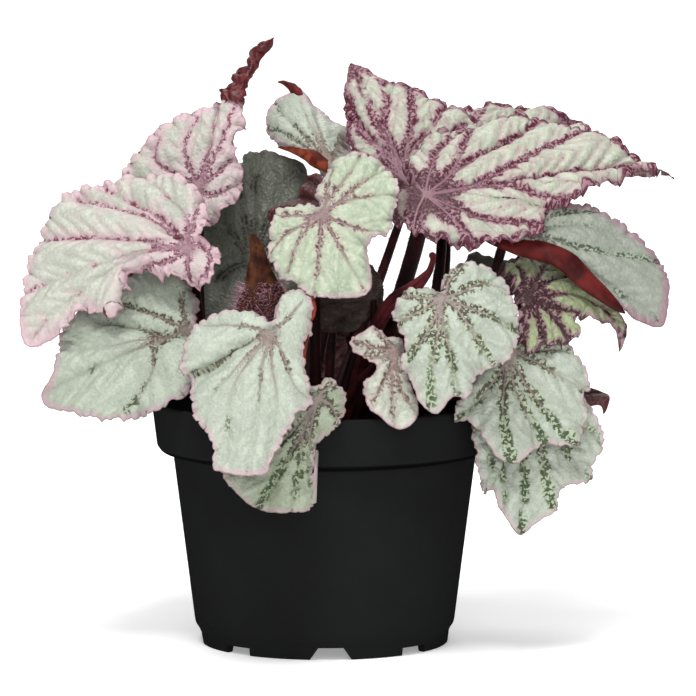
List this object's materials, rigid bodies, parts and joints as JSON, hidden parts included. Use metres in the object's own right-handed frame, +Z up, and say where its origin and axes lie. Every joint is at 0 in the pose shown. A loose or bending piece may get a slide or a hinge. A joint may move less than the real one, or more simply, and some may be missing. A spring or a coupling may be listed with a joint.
{
  "type": "potted rex begonia",
  "caption": "Potted foliage plant: ruffled silver-mint leaves banded in dark red, magenta and green on red stalks, in a black plastic nursery pot",
  "frame": {"origin": "on the pot's axis, at the level of the ground that it stands on", "axes": "+Z up, the front of the plant towards -Y, +X to the right seen from the front"},
  "size_m": [0.244, 0.1725, 0.2248],
  "materials": {
    "blade": "satin",
    "stalk": "satin",
    "rhizome": "matte",
    "potting_mix": "matte",
    "pot": "satin"
  },
  "bodies": {
    "root": {"leaf_top_left_blade": "blade", "leaf_top_left_stalk": "stalk", "leaf_left_blade": "blade", "leaf_left_stalk": "stalk", "leaf_left_low_blade": "blade", "leaf_left_low_stalk": "stalk", "leaf_front_left_blade": "blade", "leaf_front_left_stalk": "stalk", "leaf_front_low_blade": "blade", "leaf_front_low_stalk": "stalk", "leaf_centre_blade": "blade", "leaf_centre_stalk": "stalk", "leaf_shade_left_blade": "blade", "leaf_shade_left_stalk": "stalk", "leaf_top_centre_blade": "blade", "leaf_top_centre_stalk": "stalk", "leaf_shade_centre_blade": "blade", "leaf_shade_centre_stalk": "stalk", "leaf_top_right_blade": "blade", "leaf_top_right_stalk": "stalk", "leaf_right_blade": "blade", "leaf_right_stalk": "stalk", "leaf_right_behind_blade": "blade", "leaf_right_behind_stalk": "stalk", "leaf_right_pale_blade": "blade", "leaf_right_pale_stalk": "stalk", "leaf_right_ruffled_blade": "blade", "leaf_right_ruffled_stalk": "stalk", "leaf_shade_right_blade": "blade", "leaf_shade_right_stalk": "stalk", "leaf_front_right_blade": "blade", "leaf_front_right_stalk": "stalk", "leaf_right_low_blade": "blade", "leaf_right_low_stalk": "stalk", "leaf_right_lowest_blade": "blade", "leaf_right_lowest_stalk": "stalk", "leaf_small_curly_blade": "blade", "leaf_small_curly_stalk": "stalk", "leaf_red_curl_blade": "blade", "leaf_red_curl_stalk": "stalk", "leaf_shade_middle_blade": "blade", "leaf_shade_middle_stalk": "stalk", "leaf_back_left_blade": "blade", "leaf_back_left_stalk": "stalk", "leaf_back_left_low_blade": "blade", "leaf_back_left_low_stalk": "stalk", "leaf_back_centre_blade": "blade", "leaf_back_centre_stalk": "stalk", "leaf_back_right_upper_blade": "blade", "leaf_back_right_upper_stalk": "stalk", "leaf_back_right_low_blade": "blade", "leaf_back_right_low_stalk": "stalk", "leaf_back_low_blade": "blade", "leaf_back_low_stalk": "stalk", "leaf_young_folded": "stalk", "stipule": "rhizome", "rhizome": "rhizome", "potting_mix": "potting_mix", "pot": "pot"}
  },
  "joints": []
}
